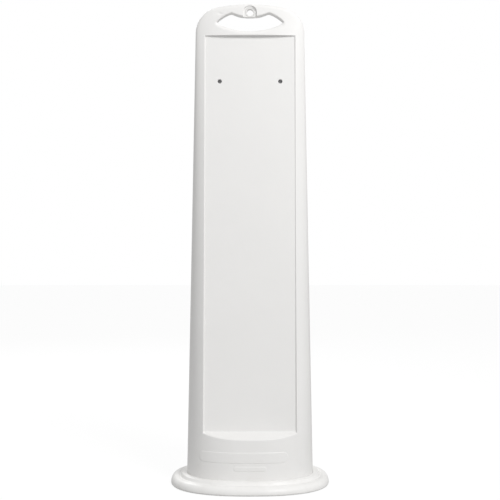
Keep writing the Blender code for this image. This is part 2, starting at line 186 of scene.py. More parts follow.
def circle(centre, radius, start, end, count=200):
    """Points on a circle in the front view: centre plus radius times cos and sin of even angles."""
    turn = np.linspace(start, end, count)
    return np.stack((centre[0] + radius * np.cos(turn), centre[1] + radius * np.sin(turn)), axis=1)


def outline_above(z):
    """The front outline from height z on the right flank, over the crown, to that height on the left."""
    right = circle((shoulder_x, shoulder_z), SHOULDER_RADIUS, flank_turn, crown_turn)
    crown = circle((0.0, crown_centre), CROWN_RADIUS, crown_turn, math.pi - crown_turn)
    right = np.concatenate((((half_sizes(z)[0], z),), right))
    return np.concatenate((right, crown[1:-1], right[::-1] * (-1.0, 1.0)))


def crown_gap(x, z):
    """Distance inside the outline: a radius less the way to its centre, or the way to the flank.

    In the shoulder's wedge the radius is the shoulder's, and elsewhere the nearer of crown and flank counts.
    """
    x = np.abs(x)
    turn = np.arctan2(z - shoulder_z, x - shoulder_x)
    to_shoulder = SHOULDER_RADIUS - np.hypot(x - shoulder_x, z - shoulder_z)
    to_crown = CROWN_RADIUS - np.hypot(x, z - crown_centre)
    to_flank = (half_sizes(z)[0] - x) / slant
    wedge = (turn > flank_turn) & (turn < crown_turn)
    return np.where(wedge, to_shoulder, np.minimum(to_crown, to_flank))


def rolled(depth, gap, radius):
    """depth less a quarter circle's fall within radius of an edge: r - sqrt(r^2 - (r - gap)^2)."""
    r = np.minimum(radius, ROLL_SHARE * depth)
    return depth - r + np.sqrt(np.maximum(r**2 - (r - np.clip(gap, 0.0, r)) ** 2, 0.0))


def handle_depth(x, z, face):
    """Half thickness round the handle: the face rolled in at crown and hand hole, less a dimple in front.

    The dimple is a bell curve. The crown's roll fades in above the flank, and the hand hole's roll widens
    from its tight upper edge to its lower lip, both by 3 t^2 - 2 t^3.
    """
    depth = face_depth(x, z)
    share = np.clip((z - ROLL_START) / ROLL_FADE, 0.0, 1.0)
    share = share**2 * (3.0 - 2.0 * share)
    depth = depth + (rolled(depth, crown_gap(x, z), CROWN_ROLL) - depth) * share
    low = np.clip((LIP_HIGH - z) / (LIP_HIGH - LIP_LOW), 0.0, 1.0)
    depth = rolled(depth, grip_gap(x, z), GRIP_ROLL + (LIP_ROLL - GRIP_ROLL) * low**2 * (3.0 - 2.0 * low))
    bell = ((x - DIMPLE_X) / DIMPLE_WIDE) ** 2 + ((z - DIMPLE_Z) / DIMPLE_HIGH) ** 2
    return depth - (DIMPLE_DEPTH * np.exp(-bell) if face < 0 else 0.0)


# Shell wall. The moulding's outer and inner surface, and the inward flange that the foot screws hold.
# As grids: inner wall down, in and out along the flange, outer wall up to the handle's patches.
FLANGE_REACH, FLANGE_THICKNESS = 0.024, 0.005
HOLLOW_TOP, HOLLOW_ROUND = 1.055, 0.010
# Grid lines are (end, step) in metres: columns from the middle outwards, rows up the inner and outer wall.
COLUMN_STEPS = ((0.062, 0.005), (0.082, 0.0018), (0.104, 0.003), (0.112, 0.0004))
FLANK_COLUMNS = 14
INNER_STEPS = (
    (0.105, 0.012), (0.132, 0.003), (0.92, 0.04), (0.98, 0.003), (HOLLOW_TOP - HOLLOW_ROUND, 0.02),
)
OUTER_STEPS = (
    (0.112, 0.0075), (0.137, 0.0008), (0.16, 0.003), (0.94, 0.013), (0.974, 0.0017), (1.05, 0.008),
    (1.0625, 0.0025), (JOIN_Z, 0.00035),
)
CLOSING_ROWS, FLANGE_ROWS = 6, 4
UPPER_SPOKES, SPOKE_STEPS, EDGE_STEPS = 250, 24, 4
STEP_TOLERANCE = 1e-6
MERGE = 0.000005
SHARP = math.radians(38)
CLEARANCE = 0.0003
insert_low, insert_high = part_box("face_insert_front_right")
HOLE_X = (insert_low.x + insert_high.x) / 2.0
HOLE_Z = (insert_low.z + insert_high.z) / 2.0
INSERT_SEAT = -insert_low.y + CLEARANCE
BOSS_RADIUS, BOSS_EDGE = 0.016, 0.002


def graded(start, *stretches):
    """Values from start in stretches of (end, step), each cut into equal steps no longer than its own."""
    line = np.array((start,))
    for end, step in stretches:
        count = math.ceil((end - line[-1]) / step - STEP_TOLERANCE)
        line = np.concatenate((line, np.linspace(line[-1], end, count + 1)[1:]))
    return line


def ring(z, inset, squeeze):
    """Rows of points round the section at heights z, from the left by the front, the right and the rear.

    Front columns have y from the face; on the flanks y falls evenly to 0 and x follows from the section.
    inset moves the row inwards, and squeeze multiplies y. Behind a sign hole the inner wall is a flat boss.
    """
    z, inset, squeeze = (np.asarray(v)[:, None] for v in (z, inset, squeeze))
    columns = graded(0.0, *COLUMN_STEPS)
    width, depth = half_sizes(z)
    x = columns * (width - inset) / width
    y = face_depth(x, z, inset)
    to_hole = np.hypot(x - HOLE_X, z - HOLE_Z)
    near_hole = np.clip((BOSS_RADIUS - to_hole) / BOSS_EDGE, 0.0, 1.0) * (inset > 0.0)
    y = y + (np.minimum(y, INSERT_SEAT) - y) * near_hole
    top = (z[:, 0] > JOIN_Z - LIP_ROLL) & (inset[:, 0] == 0.0)
    y[top] = handle_depth(x[top], np.broadcast_to(z, x.shape)[top], 1)
    flank_y = y[:, -1:] * (1.0 - np.linspace(0.0, 1.0, FLANK_COLUMNS + 1)[1:])
    share = np.clip(flank_y / (depth - inset), 0.0, 1.0) ** SECTION_POWER
    flank_x = (width - inset) * (1.0 - share) ** (1.0 / SECTION_POWER)
    x = np.concatenate((x, flank_x), axis=1)
    y = np.concatenate((y, flank_y), axis=1) * squeeze
    x = np.concatenate((-x[:, :0:-1], x), axis=1)
    y = np.concatenate((y[:, :0:-1], y), axis=1)
    height = np.broadcast_to(z, x.shape)
    front = np.stack((x, -y, height), axis=2)
    rear = np.stack((x, y, height), axis=2)[:, ::-1]
    return np.concatenate((front, rear[:, 1:]), axis=1)


def mesh_of(name, grids):
    """One object from grids of points: neighbours make quads, points that meet merge, faces look out."""
    points, quads, start = [], [], 0
    for grid in grids:
        rows, columns = grid.shape[:2]
        first = start + np.arange((rows - 1) * columns).reshape(rows - 1, columns)[:, :-1].ravel()
        quads.append(np.stack((first, first + 1, first + columns + 1, first + columns), axis=1))
        points.append(grid.reshape(-1, 3))
        start += rows * columns
    mesh = bpy.data.meshes.new(name)
    mesh.from_pydata(np.concatenate(points).tolist(), [], np.concatenate(quads).tolist())
    work = bmesh.new()
    work.from_mesh(mesh)
    bmesh.ops.remove_doubles(work, verts=work.verts, dist=MERGE)
    bmesh.ops.dissolve_degenerate(work, edges=work.edges, dist=MERGE)
    bmesh.ops.recalc_face_normals(work, faces=work.faces)
    work.to_mesh(mesh)
    work.free()
    made = bpy.data.objects.new(name, mesh)
    bpy.context.scene.collection.objects.link(made)
    mesh.shade_smooth()
    mesh.set_sharp_from_angle(angle=SHARP)
    return made


closing = np.linspace(1.0, 0.0, CLOSING_ROWS)
inner_z = graded(BASE_Z + FLANGE_THICKNESS, *INNER_STEPS)[::-1]
outer_z = graded(BASE_Z, *OUTER_STEPS)
over_flange = np.linspace(WALL, FLANGE_REACH, FLANGE_ROWS)[1:]
under_flange = np.linspace(FLANGE_REACH, 0.0, FLANGE_ROWS)
rows = [
    (HOLLOW_TOP - HOLLOW_ROUND * (1.0 - closing), WALL, np.sqrt(1.0 - closing**2)),
    (inner_z[1:], WALL, 1.0),
    (np.full(over_flange.shape, BASE_Z + FLANGE_THICKNESS), over_flange, 1.0),
    (np.full(under_flange.shape, BASE_Z), under_flange, 1.0),
    (outer_z[1:], 0.0, 1.0),
]
tube = np.concatenate([
    ring(z, np.broadcast_to(inset, z.shape), np.broadcast_to(squeeze, z.shape)) for z, inset, squeeze in rows
])

half = (tube.shape[1] + 1) // 2
join_front = tube[-1, :half]
join_width = join_front[-1, 0]
lower_x = np.interp(join_front[:, 0], (-join_width, join_width), grip_lower[(0, -1), 0])
hole_low = np.stack((lower_x, np.interp(lower_x, grip_lower[:, 0], grip_lower[:, 1])), axis=1)
hole = np.concatenate((hole_low, even(grip_upper, UPPER_SPOKES)[1:]))
outline = np.concatenate((join_front[:, ::2], even(outline_above(JOIN_Z), UPPER_SPOKES)[1:]))
along = (0.5 - 0.5 * np.cos(np.linspace(0.0, math.pi, SPOKE_STEPS + 1)))[:, None, None]
flat = hole + (outline - hole) * along


def patch(face):
    """The handle's face: spokes from hand hole to outline in cosine steps, at the handle's depth."""
    depth = handle_depth(flat[..., 0], flat[..., 1], face)
    depth[-1, :half] = np.abs(join_front[:, 1])
    return np.stack((flat[..., 0], face * depth, flat[..., 1]), axis=2)


def bridge(front, rear):
    """A strip in straight steps across the moulding, from an edge in front to the same edge at the rear."""
    share = np.linspace(0.0, 1.0, EDGE_STEPS + 1)[:, None, None]
    return front + (rear - front) * share


front, rear = patch(-1), patch(1)
edges = [bridge(front[0], rear[0]), bridge(front[-1, half - 1:], rear[-1, half - 1:])]
post = mesh_of("post_moulding", [tube, front, rear] + edges)

# Pockets and holes. A round-topped pocket moulded in each face of the handle seats a warning lamp on its
# bolt, and two holes drilled in each recess take a sign's screws. Every lip is rounded over.
sleeve_low, sleeve_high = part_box("lamp_bolt_sleeve")
BOLT_Z = (sleeve_low.z + sleeve_high.z) / 2.0
HALF_WEB = sleeve_high.y
SLEEVE_RADIUS = sleeve_high.x
POCKET_RADIUS, POCKET_TAIL, POCKET_LIP = 0.0158, 0.026, 0.0010
HOLE_RADIUS, HOLE_LIP = 0.0050, 0.0009
TOP_POINTS, SIDE_POINTS, HOLE_POINTS, LIP_POINTS = 61, 25, 49, 6
PAST_FACE, PAST_SEAT, ABOVE_FLOOR = 0.012, 0.0002, 0.0002
OVER_LIP = 3.0
ROUND_SIDES = 96


def u_outline(grow):
    """The pocket's outline, grown a little: half a circle over straight sides and a straight foot."""
    top = circle((0.0, BOLT_Z), POCKET_RADIUS + grow, 0.0, math.pi, TOP_POINTS)
    side = np.linspace(0.0, 1.0, SIDE_POINTS)[1:, None]
    foot = np.array((0.0, -POCKET_TAIL))
    left, right = top[-1] + foot * side, top[0] + foot * side[::-1]
    return np.concatenate((top, left, right, top[:1]))


def round_outline(x):
    """A function for a hole's outline at x, grown by some distance: a circle round the hole's centre."""
    return lambda grow: circle((x, HOLE_Z), HOLE_RADIUS + grow, 0.0, 2.0 * math.pi, HOLE_POINTS)


def cutter(outline, floor, depth_of, face, lip):
    """A closed cutter: flat at floor, straight to lip below the face, then flaring on a quarter circle."""
    turn = np.linspace(0.0, math.pi / 2.0, LIP_POINTS)
    flare = zip(lip * (1.0 - np.cos(turn)), lip * (np.sin(turn) - 1.0))
    steps = [(0.0, None), *flare, (lip * OVER_LIP, lip)]
    rows = []
    for grow, rise in steps:
        x, z = outline(grow).T
        y = np.full(x.shape, floor)
        if rise is not None:
            y = np.maximum(depth_of(x, z) + rise, floor + ABOVE_FLOOR)
        rows.append(np.stack((x, face * y, z), axis=1))
    far_y = face * (rows[-1][:, 1] * face).max() + face * PAST_FACE
    far = rows[-1] * (1.0, 0.0, 1.0) + (0.0, far_y, 0.0)
    rows.append(far)
    caps = [np.broadcast_to(row[:-1].mean(axis=0), row.shape) for row in (rows[0], far)]
    return np.stack([caps[0]] + rows + [caps[1]])


def cut(target, grids):
    """Takes the closed grids out of target with an exact Boolean, and shades what is left."""
    tool = mesh_of("cutter", grids)
    step = target.modifiers.new("cut", "BOOLEAN")
    step.solver = "EXACT"
    step.object = tool
    shape = bpy.data.meshes.new_from_object(target.evaluated_get(bpy.context.evaluated_depsgraph_get()))
    target.modifiers.clear()
    old, target.data = target.data, shape
    bpy.data.meshes.remove(old)
    bpy.data.objects.remove(tool)
    shape.shade_smooth()
    shape.set_sharp_from_angle(angle=SHARP)


cutters = []
for face in (-1, 1):
    cutters.append(cutter(u_outline, HALF_WEB, lambda x, z: handle_depth(x, z, face), face, POCKET_LIP))
for face in (-1, 1):
    for x in (-HOLE_X, HOLE_X):
        cutters.append(cutter(round_outline(x), INSERT_SEAT - PAST_SEAT, face_depth, face, HOLE_LIP))
cut(post, cutters)


def spun(profile, centre, axis="z", sides=48, face=1.0):
    """Rows of (radius, height) turned round a line through centre: radius cos a, radius sin a, height.

    A third value is a wave's depth, a fourth its pitch and a fifth its count: radius plus depth times
    cos(2 pi height / pitch - count a). A pitch of 0 leaves the height out, which gives a straight knurl.
    """
    rows = np.array([tuple(row) + (0.0,) * (5 - len(row)) for row in profile])
    radius, height, deep, pitch, count = (rows[:, k:k + 1] for k in range(5))
    turn = np.linspace(0.0, 2.0 * math.pi, sides + 1)
    climb = np.where(pitch > 0.0, height / np.where(pitch > 0.0, pitch, 1.0), 0.0)
    radius = radius + deep * np.cos(2.0 * math.pi * climb - count * turn)
    across, up, rise = radius * np.cos(turn), radius * np.sin(turn), face * height + 0.0 * turn
    grid = (across, rise, up) if axis == "y" else (across, up, rise)
    return np.stack(grid, axis=2) + np.array(centre)


seat = SLEEVE_RADIUS + CLEARANCE
drill = [(0.0, -2.0 * HALF_WEB), (seat, -2.0 * HALF_WEB), (seat, 2.0 * HALF_WEB), (0.0, 2.0 * HALF_WEB)]
cut(post, [spun(drill, (0.0, 0.0, BOLT_Z), "y", ROUND_SIDES)])


# Plastic finish. White polyethylene, satin as it leaves the mould, with a fine orange peel all over.
# It clouds a little, and picks up scuffs in use and dust near the floor.
class Wire:
    """A shader value. Arithmetic on it, with numbers or other wires on either side, adds Math nodes."""

    def __init__(self, tree, socket=None):
        self.tree = tree
        self.socket = socket

    def add(self, kind, settings, values, out=0):
        """A node of that kind, with its settings first and then its sockets' values or links; one output."""
        made = self.tree.nodes.new(kind)
        for name, value in settings.items():
            setattr(made, name, value)
        for name, value in values.items():
            if isinstance(value, Wire):
                self.tree.links.new(value.socket, made.inputs[name])
            else:
                made.inputs[name].default_value = value
        return Wire(self.tree, made.outputs[out])

    def sums(self, operation, first, second):
        """A Math node of that operation on two values."""
        return self.add("ShaderNodeMath", {"operation": operation}, {0: first, 1: second})

    def __add__(self, other):
        return self.sums("ADD", self, other)

    def __radd__(self, other):
        return self.sums("ADD", other, self)

    def __sub__(self, other):
        return self.sums("SUBTRACT", self, other)

    def __rsub__(self, other):
        return self.sums("SUBTRACT", other, self)

    def __mul__(self, other):
        return self.sums("MULTIPLY", self, other)

    def __rmul__(self, other):
        return self.sums("MULTIPLY", other, self)

    def between(self, low, high):
        """0 below low, 1 above high and a smooth step between."""
        ends = {"Value": self, "From Min": low, "From Max": high}
        return self.add("ShaderNodeMapRange", {"interpolation_type": "SMOOTHSTEP"}, ends)

    def mixed(self, first, second):
        """A colour from first where this wire is 0 to second where it is 1."""
        values = {0: self, 6: (*first, 1.0) if isinstance(first, tuple) else first, 7: (*second, 1.0)}
        return self.add("ShaderNodeMix", {"data_type": "RGBA"}, values, 2)

    def feed(self, socket):
        """Links this value to a shader's socket."""
        self.tree.links.new(self.socket, socket)


# Each noise is its features per metre, its finer octaves, and how strong each octave is beside the last.
CLOUDS, SPECKS, DUST = (6.0, 3.0, 0.5), (240.0, 2.0, 0.6), (26.0, 4.0, 0.6)
SCUFFS, SCUFF_PATCHES = (55.0, 5.0, 0.7), (9.0, 2.0, 0.5)
PEEL, RIPPLES, WAVES = (900.0, 2.0, 0.5), (170.0, 2.0, 0.5), (14.0, 1.0, 0.5)
CLOUD_RANGE, DUST_RANGE, SCUFF_RANGE, PATCH_RANGE = (0.3, 0.7), (0.42, 0.72), (0.62, 0.74), (0.5, 0.62)
CLOUD_SHADE, SCUFF_SHADE, DUST_COLOUR, DUST_TOP = 0.982, 0.86, (0.60, 0.57, 0.52), 0.16
SCUFF_TINT, DUST_TINT = 0.16, 0.09
CLOUD_ROUGH, SPECK_ROUGH, SCUFF_ROUGH, DUST_ROUGH = 0.10, 0.06, 0.10, 0.12
PEEL_HEIGHT, RIPPLE_HEIGHT, WAVE_HEIGHT = 0.00008, 0.00010, 0.0009
PLASTIC_SPECULAR, PLASTIC_BUMP = 0.42, 0.35
POST_WHITE, POST_ROUGHNESS = (0.860, 0.853, 0.840), 0.42


def noise(place, scale, detail, rough):
    """Noise from about 0 to 1 with features one over scale metres apart."""
    values = {"Vector": place, "Scale": scale, "Detail": detail, "Roughness": rough}
    return place.add("ShaderNodeTexNoise", {}, values)


def moulded_plastic(name, colour, roughness):
    """Satin moulded polyethylene: faint clouding, scuffs, orange peel, slow waves, and dust low down."""
    made = bpy.data.materials.new(name)
    made.use_nodes = True
    shader = made.node_tree.nodes["Principled BSDF"]
    shader.inputs["Specular IOR Level"].default_value = PLASTIC_SPECULAR
    wire = Wire(made.node_tree)
    place = wire.add("ShaderNodeTexCoord", {}, {}, "Object")
    height = place.add("ShaderNodeSeparateXYZ", {}, {"Vector": place}, "Z")
    clouds = noise(place, *CLOUDS)
    specks = noise(place, *SPECKS)
    dusty = (1.0 - height.between(0.0, DUST_TOP)) * noise(place, *DUST).between(*DUST_RANGE)
    scuffs = noise(place, *SCUFFS).between(*SCUFF_RANGE) * noise(place, *SCUFF_PATCHES).between(*PATCH_RANGE)
    tint = clouds.between(*CLOUD_RANGE).mixed(colour, tuple(CLOUD_SHADE * c for c in colour))
    tint = (scuffs * SCUFF_TINT).mixed(tint, tuple(SCUFF_SHADE * c for c in colour))
    tint = (dusty * DUST_TINT).mixed(tint, DUST_COLOUR)
    tint.feed(shader.inputs["Base Color"])
    rough = roughness + (clouds - 0.5) * CLOUD_ROUGH + (specks - 0.5) * SPECK_ROUGH
    rough = rough + scuffs * SCUFF_ROUGH + dusty * DUST_ROUGH
    rough.feed(shader.inputs["Roughness"])
    relief = noise(place, *PEEL) * PEEL_HEIGHT + noise(place, *RIPPLES) * RIPPLE_HEIGHT
    relief = relief + noise(place, *WAVES) * WAVE_HEIGHT
    bump = wire.add("ShaderNodeBump", {}, {"Height": relief, "Strength": PLASTIC_BUMP, "Distance": 1.0})
    bump.feed(shader.inputs["Normal"])
    return made


post_finish = moulded_plastic("moulded_white", POST_WHITE, POST_ROUGHNESS)


def fit(piece, slot, finish, *nodes):
    """Gives a finished piece its material and the root body, and hides the plain nodes that it stands for.
    The slot is not used.
    """
    piece.data.materials.clear()
    piece.data.materials.append(finish)
    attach(piece, "root")
    if nodes:
        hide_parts(*nodes)


fit(post, "post_shell", post_finish, "post_shell")

# Mould line. A fine ridge of flash, of the shell's own plastic, where the two halves of the mould close.
# It runs up both flanks from above the foot and over the crown.
LINE_HALF_WIDTH, LINE_HEIGHT, LINE_SUNK, LINE_FOOT = 0.0006, 0.00025, 0.0006, 0.030
LINE_STEPS, CREST_POINTS = 500, 9


def swept(path, profile):
    """A closed profile of (out, y) carried along a path in the front view: path plus out times normal."""
    way = np.gradient(path, axis=0)
    way = way / np.hypot(*way.T)[:, None]
    normal = np.stack((way[:, 1], -way[:, 0]), axis=1)
    out, y = profile.T
    x = path[:, :1] + normal[:, :1] * out
    z = path[:, 1:] + normal[:, 1:] * out
    grid = np.stack((x, np.broadcast_to(y, x.shape), z), axis=2)
    ends = [np.broadcast_to(grid[k].mean(axis=0), grid[k:k + 1 or None].shape) for k in (0, -1)]
    return np.concatenate((ends[0], grid, ends[1]))


turn = np.linspace(-math.pi / 2.0, math.pi / 2.0, CREST_POINTS)
crest = np.stack((LINE_HEIGHT * np.cos(turn), LINE_HALF_WIDTH * np.sin(turn)), axis=1)
sunk = np.array(((-LINE_SUNK, LINE_HALF_WIDTH), (-LINE_SUNK, -LINE_HALF_WIDTH)))
ridge = np.concatenate((crest, sunk, crest[:1]))
mould_line = mesh_of("mould_line", [swept(even(outline_above(LINE_FOOT), LINE_STEPS), ridge)])
fit(mould_line, "post_shell", post_finish)

# Raised bands. Two plain low bands in the shell's own plastic, formed on the front above the foot by shallow
# pockets in the mould. Each is its middle's x and z, its half length and its half height.
BANDS = ((-0.0155, 0.0775, 0.104, 0.0125), (0.0000, 0.0530, 0.038, 0.0055))
BAND_RISE, BAND_SUNK, BAND_EDGE, RIM_SUNK = 0.0007, 0.0008, 0.0016, 0.00002
FLAT_RINGS, EDGE_RINGS, END_POINTS, RUN_POINTS = 6, 7, 25, 61


def raised_band(x, z, half_length, half_height):
    """A round-ended band on the front: rings grown from its middle line, with a smooth fall at the rim.

    The rise is BAND_RISE times 3 t^2 - 2 t^3, where t is the way in from the rim over BAND_EDGE, at most 1.
    Each ring's points are the middle line's x plus reach times a spoke: right end, top, left end, foot.
    """
    flat_reach, end = half_height - BAND_EDGE, half_length - half_height
    fall = flat_reach + BAND_EDGE * np.linspace(0.0, 1.0, EDGE_RINGS)[1:]
    reach = np.concatenate((np.linspace(0.0, flat_reach, FLAT_RINGS), fall))[:, None]
    run = np.linspace(-1.0, 1.0, RUN_POINTS)[1:-1] * end
    still, turn = np.zeros_like(run), np.linspace(-math.pi / 2.0, math.pi / 2.0, END_POINTS)
    spokes = np.concatenate((
        np.stack((np.cos(turn), np.sin(turn), np.full(END_POINTS, end)), axis=1),
        np.stack((still, still + 1.0, -run), axis=1),
        np.stack((-np.cos(turn), -np.sin(turn), np.full(END_POINTS, -end)), axis=1),
        np.stack((still, still - 1.0, run), axis=1),
        ((math.cos(turn[0]), math.sin(turn[0]), end),),
    ))
    ring_x = x + spokes[:, 2] + reach * spokes[:, 0]
    ring_z = z + reach * spokes[:, 1]
    inward = np.clip((half_height - reach) / BAND_EDGE, 0.0, 1.0)
    rise = BAND_RISE * inward**2 * (3.0 - 2.0 * inward) - RIM_SUNK
    surface = skin(ring_x, ring_z)
    top = np.stack((ring_x, -surface - rise, ring_z), axis=2)
    under = np.stack((ring_x, -surface + BAND_SUNK, ring_z), axis=2)
    return np.concatenate((top, under[::-1]))


bands = mesh_of("raised_bands", [raised_band(*place) for place in BANDS])
fit(bands, "post_shell", post_finish)

# Foot moulding. A separate ring of the same plastic, stepped to seat a ballast ring; its white is painted
# lighter than the post's, as painted light on its upturned faces.
# The post stands inside it on a ledge, through which six screws come up from below. Each corner of its
# profile is the reach outside the post, the height and the rounding's radius.
FOOT_REACHES = (
    (CLEARANCE, 0.0265, 0.0005),
    (0.0120, 0.0256, 0.0040),
    (0.0165, 0.0175, 0.0030),
    (0.0205, 0.0195, 0.0020),
    (0.0375, 0.0195, 0.0138),
    (0.0375, 0.0000, 0.0040),
    (-0.0260, 0.0000, 0.0008),
    (-0.0260, 0.0080, 0.0008),
    (CLEARANCE, 0.0080, 0.0002),
)
FOOT_SIDES = 240
# The foot's white is the post's plastic painted lighter: painted light standing in for the light on its
# upturned faces.
FOOT_PAINTED_LIGHTER_WHITE, FOOT_ROUGHNESS = (0.900, 0.893, 0.878), 0.40
SCREW_HEAD, SCREW_SHANK, HEAD_THICKNESS = 0.0055, 0.0025, 0.003
BORE_CHAMFER, BORE_BELOW, BORE_ABOVE = 0.0006, -0.01, 0.02
screw_boxes = [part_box(f"foot_screw_{number}") for number in range(1, 7)]
screw_centres = [((low.x + high.x) / 2.0, (low.y + high.y) / 2.0) for low, high in screw_boxes]
HEAD_LOW, SCREW_TOP = screw_boxes[0][0].z, screw_boxes[0][1].z
HEAD_TOP = HEAD_LOW + HEAD_THICKNESS


def filleted(corners, steps=7):
    """A closed profile whose (out, up, radius) corners are arcs between their tangent points.

    A point is the centre plus each tangent spoke times the sine of its share of the turn, over the sine
    of the whole turn.
    """
    line = []
    for i, (out, up, radius) in enumerate(corners):
        here = np.array((out, up))
        into = here - corners[i - 1][:2]
        away = np.array(corners[(i + 1) % len(corners)][:2]) - here
        into, away = into / np.hypot(*into), away / np.hypot(*away)
        bend = math.acos(np.clip(into @ away, -1.0, 1.0))
        inside = (away - into) / np.hypot(*(away - into))
        centre = here + inside * radius / math.cos(bend / 2.0)
        first = here - into * radius * math.tan(bend / 2.0) - centre
        last = here + away * radius * math.tan(bend / 2.0) - centre
        share = np.linspace(0.0, 1.0, steps)[:, None]
        spoke = np.sin((1.0 - share) * bend) * first + np.sin(share * bend) * last
        line.append(centre + spoke / math.sin(bend))
    return np.concatenate(line + [line[0][:1]])


def foot_grid():
    """The foot's profile round the post: half sizes plus reach, times cos and sin to the power 2 / n."""
    reach, height = filleted(FOOT_REACHES).T
    width, depth = (size + reach for size in half_sizes(height))
    turn = np.linspace(0.0, 2.0 * math.pi, FOOT_SIDES + 1)
    power = 2.0 / SECTION_POWER
    across = np.sign(np.cos(turn)) * np.abs(np.cos(turn)) ** power
    along = np.sign(np.sin(turn)) * np.abs(np.sin(turn)) ** power
    flat = np.stack((width[:, None] * across, depth[:, None] * along), axis=2)
    return np.concatenate((flat, np.broadcast_to(height[:, None, None], flat.shape[:2] + (1,))), axis=2)


foot = mesh_of("foot_moulding", [foot_grid()])
head, shank = SCREW_HEAD + CLEARANCE, SCREW_SHANK + CLEARANCE
bore = [
    (0.0, BORE_BELOW), (head + BORE_CHAMFER, BORE_BELOW), (head + BORE_CHAMFER, 0.0), (head, BORE_CHAMFER),
    (head, HEAD_TOP + CLEARANCE), (shank, HEAD_TOP + CLEARANCE), (shank, BORE_ABOVE), (0.0, BORE_ABOVE),
]
cut(foot, [spun(bore, (x, y, 0.0)) for x, y in screw_centres])
# Foot finish: the same plastic in a painted lighter white, painted light for its upturned faces.
foot_finish = moulded_plastic("foot_white", FOOT_PAINTED_LIGHTER_WHITE, FOOT_ROUGHNESS)
fit(foot, "foot_ring", foot_finish, "foot_ring")

# Screw bosses. Round pillars of the shell's own plastic, moulded on its inward flange.
# The foot screws cut their thread in them.
BOSS_OUTER, BOSS_BORE, BOSS_TOP = 0.0070, 0.0028, SCREW_TOP + 0.004
BOSS_SUNK, BOSS_CHAMFER = 0.002, 0.0008
boss_foot = BASE_Z + FLANGE_THICKNESS - BOSS_SUNK
boss = [
    (BOSS_BORE, boss_foot), (BOSS_OUTER, boss_foot), (BOSS_OUTER, BOSS_TOP - BOSS_CHAMFER),
    (BOSS_OUTER - BOSS_CHAMFER, BOSS_TOP), (BOSS_BORE, BOSS_TOP), (BOSS_BORE, boss_foot),
]
bosses = mesh_of("screw_bosses", [spun(boss, (x, y, 0.0)) for x, y in screw_centres])
fit(bosses, "post_shell", post_finish)

# Foot screws. Zinc plated steel socket head screws, cold headed and thread rolled.
# They are driven up through the foot's ledge and the post's flange into the bosses.
STEEL_CLOUDS, PITS = (300.0, 3.0, 0.5), (2600.0, 2.0, 0.5)
STEEL_RANGE, STEEL_SHADE, STEEL_ROUGH = (0.35, 0.65), 0.82, 0.16
PIT_HEIGHT, STEEL_BUMP = 0.00003, 0.4
SCREW_STEEL, SCREW_ROUGHNESS = (0.56, 0.57, 0.58), 0.34


def plated_steel(name, colour, roughness):
    """Zinc plate on steel: metal with cloudy passivation and tiny pits."""
    made = bpy.data.materials.new(name)
    made.use_nodes = True
    shader = made.node_tree.nodes["Principled BSDF"]
    shader.inputs["Metallic"].default_value = 1.0
    wire = Wire(made.node_tree)
    place = wire.add("ShaderNodeTexCoord", {}, {}, "Object")
    clouds, pits = noise(place, *STEEL_CLOUDS), noise(place, *PITS)
    tint = clouds.between(*STEEL_RANGE).mixed(colour, tuple(STEEL_SHADE * c for c in colour))
    tint.feed(shader.inputs["Base Color"])
    (roughness + (clouds - 0.5) * STEEL_ROUGH).feed(shader.inputs["Roughness"])
    relief = {"Height": pits * PIT_HEIGHT, "Strength": STEEL_BUMP, "Distance": 1.0}
    wire.add("ShaderNodeBump", {}, relief).feed(shader.inputs["Normal"])
    return made


screw_finish = plated_steel("zinc_screw", SCREW_STEEL, SCREW_ROUGHNESS)
THREAD_PITCH, THREAD_DEPTH, THREAD_ROWS = 0.0016, 0.00022, 6.0
THREAD_START, THREAD_END, TIP_LENGTH, TIP_SHOULDER, TIP_WIDTH = 0.0012, 0.0016, 0.0006, 0.8, 0.55
SOCKET_RADIUS, SOCKET_DEPTH, SOCKET_WAVE, SOCKET_LOBES = 0.0024, 0.0020, 0.00012, 6.0
SOCKET_LIP, SOCKET_FLARE = 0.0002, 0.0003
HEAD_CHAMFER, HEAD_EDGE, KNURL_DEPTH, KNURL_RIDGES = 0.0005, 0.0003, 0.00006, 40.0
NECK_ROUND, NECK_RISE = 0.0002, 0.0006
SCREW_SIDES = 80
shank_z = np.arange(HEAD_TOP + THREAD_START, SCREW_TOP - THREAD_END, THREAD_PITCH / THREAD_ROWS)
thread = [(SCREW_SHANK - THREAD_DEPTH, z, THREAD_DEPTH, THREAD_PITCH, 1.0) for z in shank_z]
screw = [
    (0.0, HEAD_LOW + SOCKET_DEPTH),
    (SOCKET_RADIUS, HEAD_LOW + SOCKET_DEPTH, SOCKET_WAVE, 0.0, SOCKET_LOBES),
    (SOCKET_RADIUS, HEAD_LOW + SOCKET_LIP, SOCKET_WAVE, 0.0, SOCKET_LOBES),
    (SOCKET_RADIUS + SOCKET_FLARE, HEAD_LOW),
    (SCREW_HEAD - HEAD_CHAMFER, HEAD_LOW),
    (SCREW_HEAD, HEAD_LOW + HEAD_CHAMFER, KNURL_DEPTH, 0.0, KNURL_RIDGES),
    (SCREW_HEAD, HEAD_TOP - HEAD_EDGE, KNURL_DEPTH, 0.0, KNURL_RIDGES),
    (SCREW_HEAD - HEAD_EDGE, HEAD_TOP),
    (SCREW_SHANK + NECK_ROUND, HEAD_TOP),
    (SCREW_SHANK, HEAD_TOP + NECK_RISE),
    *thread,
    (SCREW_SHANK * TIP_SHOULDER, SCREW_TOP - TIP_LENGTH),
    (SCREW_SHANK * TIP_WIDTH, SCREW_TOP),
    (0.0, SCREW_TOP),
]
for number, (x, y) in enumerate(screw_centres, 1):
    piece = mesh_of(f"screw_{number}", [spun(screw, (x, y, 0.0), sides=SCREW_SIDES)])
    fit(piece, "foot_screw", screw_finish, f"foot_screw_{number}")

